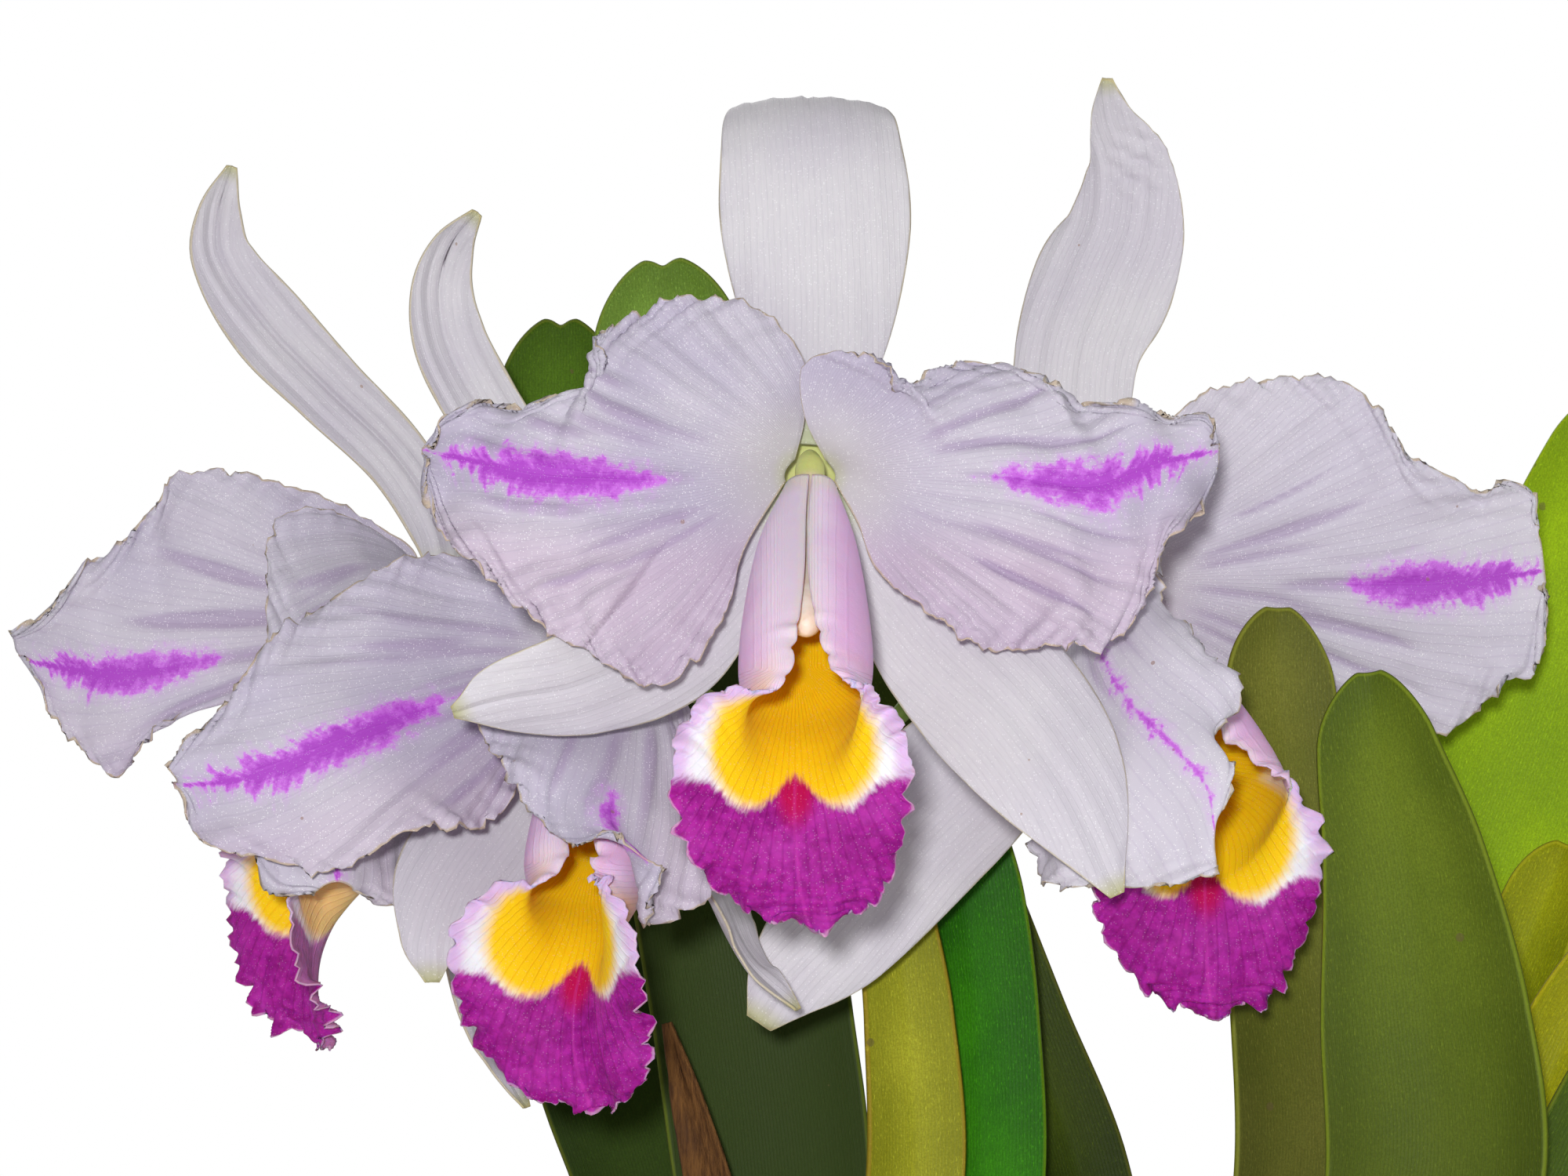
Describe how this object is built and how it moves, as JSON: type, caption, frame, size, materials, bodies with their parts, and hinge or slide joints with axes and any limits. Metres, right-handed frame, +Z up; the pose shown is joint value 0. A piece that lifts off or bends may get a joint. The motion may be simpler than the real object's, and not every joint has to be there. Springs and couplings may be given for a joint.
{
  "type": "cattleya orchid",
  "caption": "Cattleya orchid in flower with pale lilac blooms, violet flames, magenta and yellow frilled lips, strap leaves and pseudobulbs in a plain clay pot.",
  "frame": {"origin": "centre of the pot's flat base, on the ground", "axes": "+Z up along the plant, +X to the viewer's right, -Y towards the viewer, the side the main bloom faces"},
  "size_m": [0.3949, 0.2075, 0.5331],
  "materials": {
    "petal": "soft satin, pale lilac-white with a violet flame along the outer midrib",
    "sepal": "soft satin, greenish to lilac white",
    "lip": "velvety magenta front, yellow throat, white sides, lilac tube",
    "column": "waxy cream",
    "stem": "waxy green",
    "leaf": "leathery satin, olive green",
    "young_leaf": "leathery satin, bright green",
    "yellow_leaf": "leathery satin, yellow green",
    "pseudobulb": "ribbed, satin green",
    "rhizome": "dry, woody",
    "sheath": "dry and papery, brown",
    "bark": "rough bark chips",
    "pot": "unglazed fired clay"
  },
  "bodies": {
    "root": {"bark_medium": "bark", "dry_sheath": "sheath", "far.column": "column", "far.lip": "lip", "far.petal_left": "petal", "far.petal_right": "petal", "far.sepal_dorsal": "sepal", "far.sepal_left": "sepal", "far.sepal_right": "sepal", "leaf_front_left": "leaf", "leaf_front_right": "leaf", "leaf_low_right_lower": "leaf", "leaf_low_right_middle": "yellow_leaf", "leaf_low_right_upper": "yellow_leaf", "leaf_middle_dark": "leaf", "leaf_middle_front": "yellow_leaf", "leaf_middle_right": "young_leaf", "leaf_right_edge": "young_leaf", "leaf_tall_left": "leaf", "leaf_tall_right": "young_leaf", "low.column": "column", "low.lip": "lip", "low.petal_left": "petal", "low.petal_right": "petal", "low.sepal_dorsal": "sepal", "low.sepal_left": "sepal", "low.sepal_right": "sepal", "main.column": "column", "main.lip": "lip", "main.petal_left": "petal", "main.petal_right": "petal", "main.sepal_dorsal": "sepal", "main.sepal_left": "sepal", "main.sepal_right": "sepal", "pedicel_far": "stem", "pedicel_low": "stem", "pedicel_main": "stem", "pedicel_right": "stem", "peduncle": "stem", "pot": "pot", "pseudobulb_1": "pseudobulb", "pseudobulb_10": "pseudobulb", "pseudobulb_2": "pseudobulb", "pseudobulb_3": "pseudobulb", "pseudobulb_4": "pseudobulb", "pseudobulb_5": "pseudobulb", "pseudobulb_6": "pseudobulb", "pseudobulb_7": "pseudobulb", "pseudobulb_8": "pseudobulb", "pseudobulb_9": "pseudobulb", "rhizome": "rhizome", "right.column": "column", "right.lip": "lip", "right.petal_left": "petal", "right.petal_right": "petal", "right.sepal_dorsal": "sepal", "right.sepal_left": "sepal", "right.sepal_right": "sepal"}
  },
  "joints": []
}
